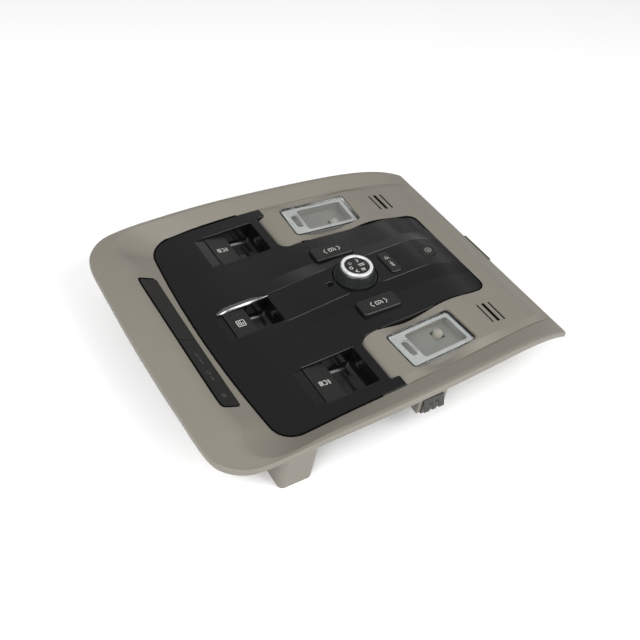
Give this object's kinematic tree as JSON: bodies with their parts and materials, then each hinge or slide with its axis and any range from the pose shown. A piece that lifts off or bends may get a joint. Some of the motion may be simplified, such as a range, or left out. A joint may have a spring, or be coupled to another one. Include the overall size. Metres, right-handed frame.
{
  "type": "car overhead console",
  "caption": "Overhead console of a car: taupe bezel, black centre panel with rocker keys in finger wells, a turning knob with a push cap, push buttons, map lamps, grilles, feet and steel clips.",
  "frame": {"origin": "middle of the console in plan, on the plane of its four feet", "axes": "+X from the rounded front edge to the straight rear edge, +Y to the left, +Z out of the visible face, away from the feet"},
  "size_m": [0.308, 0.2566, 0.0636],
  "materials": {
    "taupe_plastic": "fine grain",
    "black_plastic": "satin",
    "well_plastic": "fine grain",
    "key_plastic": "satin",
    "knob_plastic": "satin",
    "silver_finish": "satin silver",
    "clear_lens": "clear",
    "dark_lens": "dark clear",
    "light_grey_plastic": "satin",
    "lamp_dome": "gloss",
    "circuit_board": "satin",
    "switch_plastic": "satin",
    "silicone": "matt",
    "spring_steel": "brushed",
    "felt_pad": "matt"
  },
  "bodies": {
    "console": {"outer_bezel": "taupe_plastic", "rear_panel": "taupe_plastic", "centre_panel": "black_plastic", "indicator_blank": "taupe_plastic", "indicator_lens": "dark_lens", "indicator_housing": "switch_plastic", "indicator_board": "circuit_board", "well_left": "well_plastic", "well_centre": "well_plastic", "well_right": "well_plastic", "key_pin_left": "spring_steel", "key_pin_centre": "spring_steel", "key_pin_right": "spring_steel", "switch_left": "switch_plastic", "switch_centre": "switch_plastic", "switch_right": "switch_plastic", "switch_board": "circuit_board", "main_board": "circuit_board", "button_mat": "silicone", "encoder": "switch_plastic", "ambient_lens": "light_grey_plastic", "lamp_lens_left": "clear_lens", "lamp_lens_right": "clear_lens", "reflector_left": "light_grey_plastic", "reflector_right": "light_grey_plastic", "led_left": "lamp_dome", "led_right": "lamp_dome", "lamp_board_left": "circuit_board", "lamp_board_right": "circuit_board", "microphone_left": "switch_plastic", "microphone_right": "switch_plastic", "back_housing": "switch_plastic", "connector": "well_plastic", "housing_screws": "spring_steel", "board_screws": "spring_steel", "spring_clip_left": "spring_steel", "spring_clip_right": "spring_steel", "rear_pad_left": "felt_pad", "rear_pad_right": "felt_pad", "rear_hook": "switch_plastic"},
    "knob": {"knob_skirt": "knob_plastic", "knob_ring": "silver_finish", "knob_hub": "knob_plastic"},
    "knob_cap": {"knob_cap": "key_plastic"},
    "key_left": {"key_left": "key_plastic"},
    "key_centre": {"key_centre": "key_plastic"},
    "key_right": {"key_right": "key_plastic"},
    "map_button_left": {"map_button_left": "key_plastic"},
    "map_button_right": {"map_button_right": "key_plastic"},
    "off_button": {"off_button": "key_plastic"},
    "round_button": {"round_button": "key_plastic"}
  },
  "joints": [
    {"name": "knob_turn", "type": "hinge", "parent": "console", "child": "knob", "pos_m": [0.0258, 0, 0.054], "axis": [0, 0, 1], "range_deg": [-45, 45]},
    {"name": "knob_push", "type": "slide", "parent": "knob", "child": "knob_cap", "axis": [0, 0, -1], "range_m": [0, 0.001], "stiffness_N_per_m": 3000},
    {"name": "key_left_rock", "type": "hinge", "parent": "console", "child": "key_left", "pos_m": [-0.0489, 0.079, 0.03802], "axis": [0, 1, 0], "range_deg": [-6, 6], "stiffness_Nm_per_rad": 0.4},
    {"name": "key_centre_rock", "type": "hinge", "parent": "console", "child": "key_centre", "pos_m": [-0.0739, 0, 0.03632], "axis": [0, 1, 0], "range_deg": [-6, 6], "stiffness_Nm_per_rad": 0.4},
    {"name": "key_right_rock", "type": "hinge", "parent": "console", "child": "key_right", "pos_m": [-0.0489, -0.079, 0.03802], "axis": [0, 1, 0], "range_deg": [-6, 6], "stiffness_Nm_per_rad": 0.4},
    {"name": "map_button_left_push", "type": "slide", "parent": "console", "child": "map_button_left", "axis": [0, 0, -1], "range_m": [0, 0.0012], "stiffness_N_per_m": 2500},
    {"name": "map_button_right_push", "type": "slide", "parent": "console", "child": "map_button_right", "axis": [0, 0, -1], "range_m": [0, 0.0012], "stiffness_N_per_m": 2500},
    {"name": "off_button_push", "type": "slide", "parent": "console", "child": "off_button", "axis": [0, 0, -1], "range_m": [0, 0.0012], "stiffness_N_per_m": 2500},
    {"name": "round_button_push", "type": "slide", "parent": "console", "child": "round_button", "axis": [0, 0, -1], "range_m": [0, 0.0012], "stiffness_N_per_m": 2500}
  ]
}
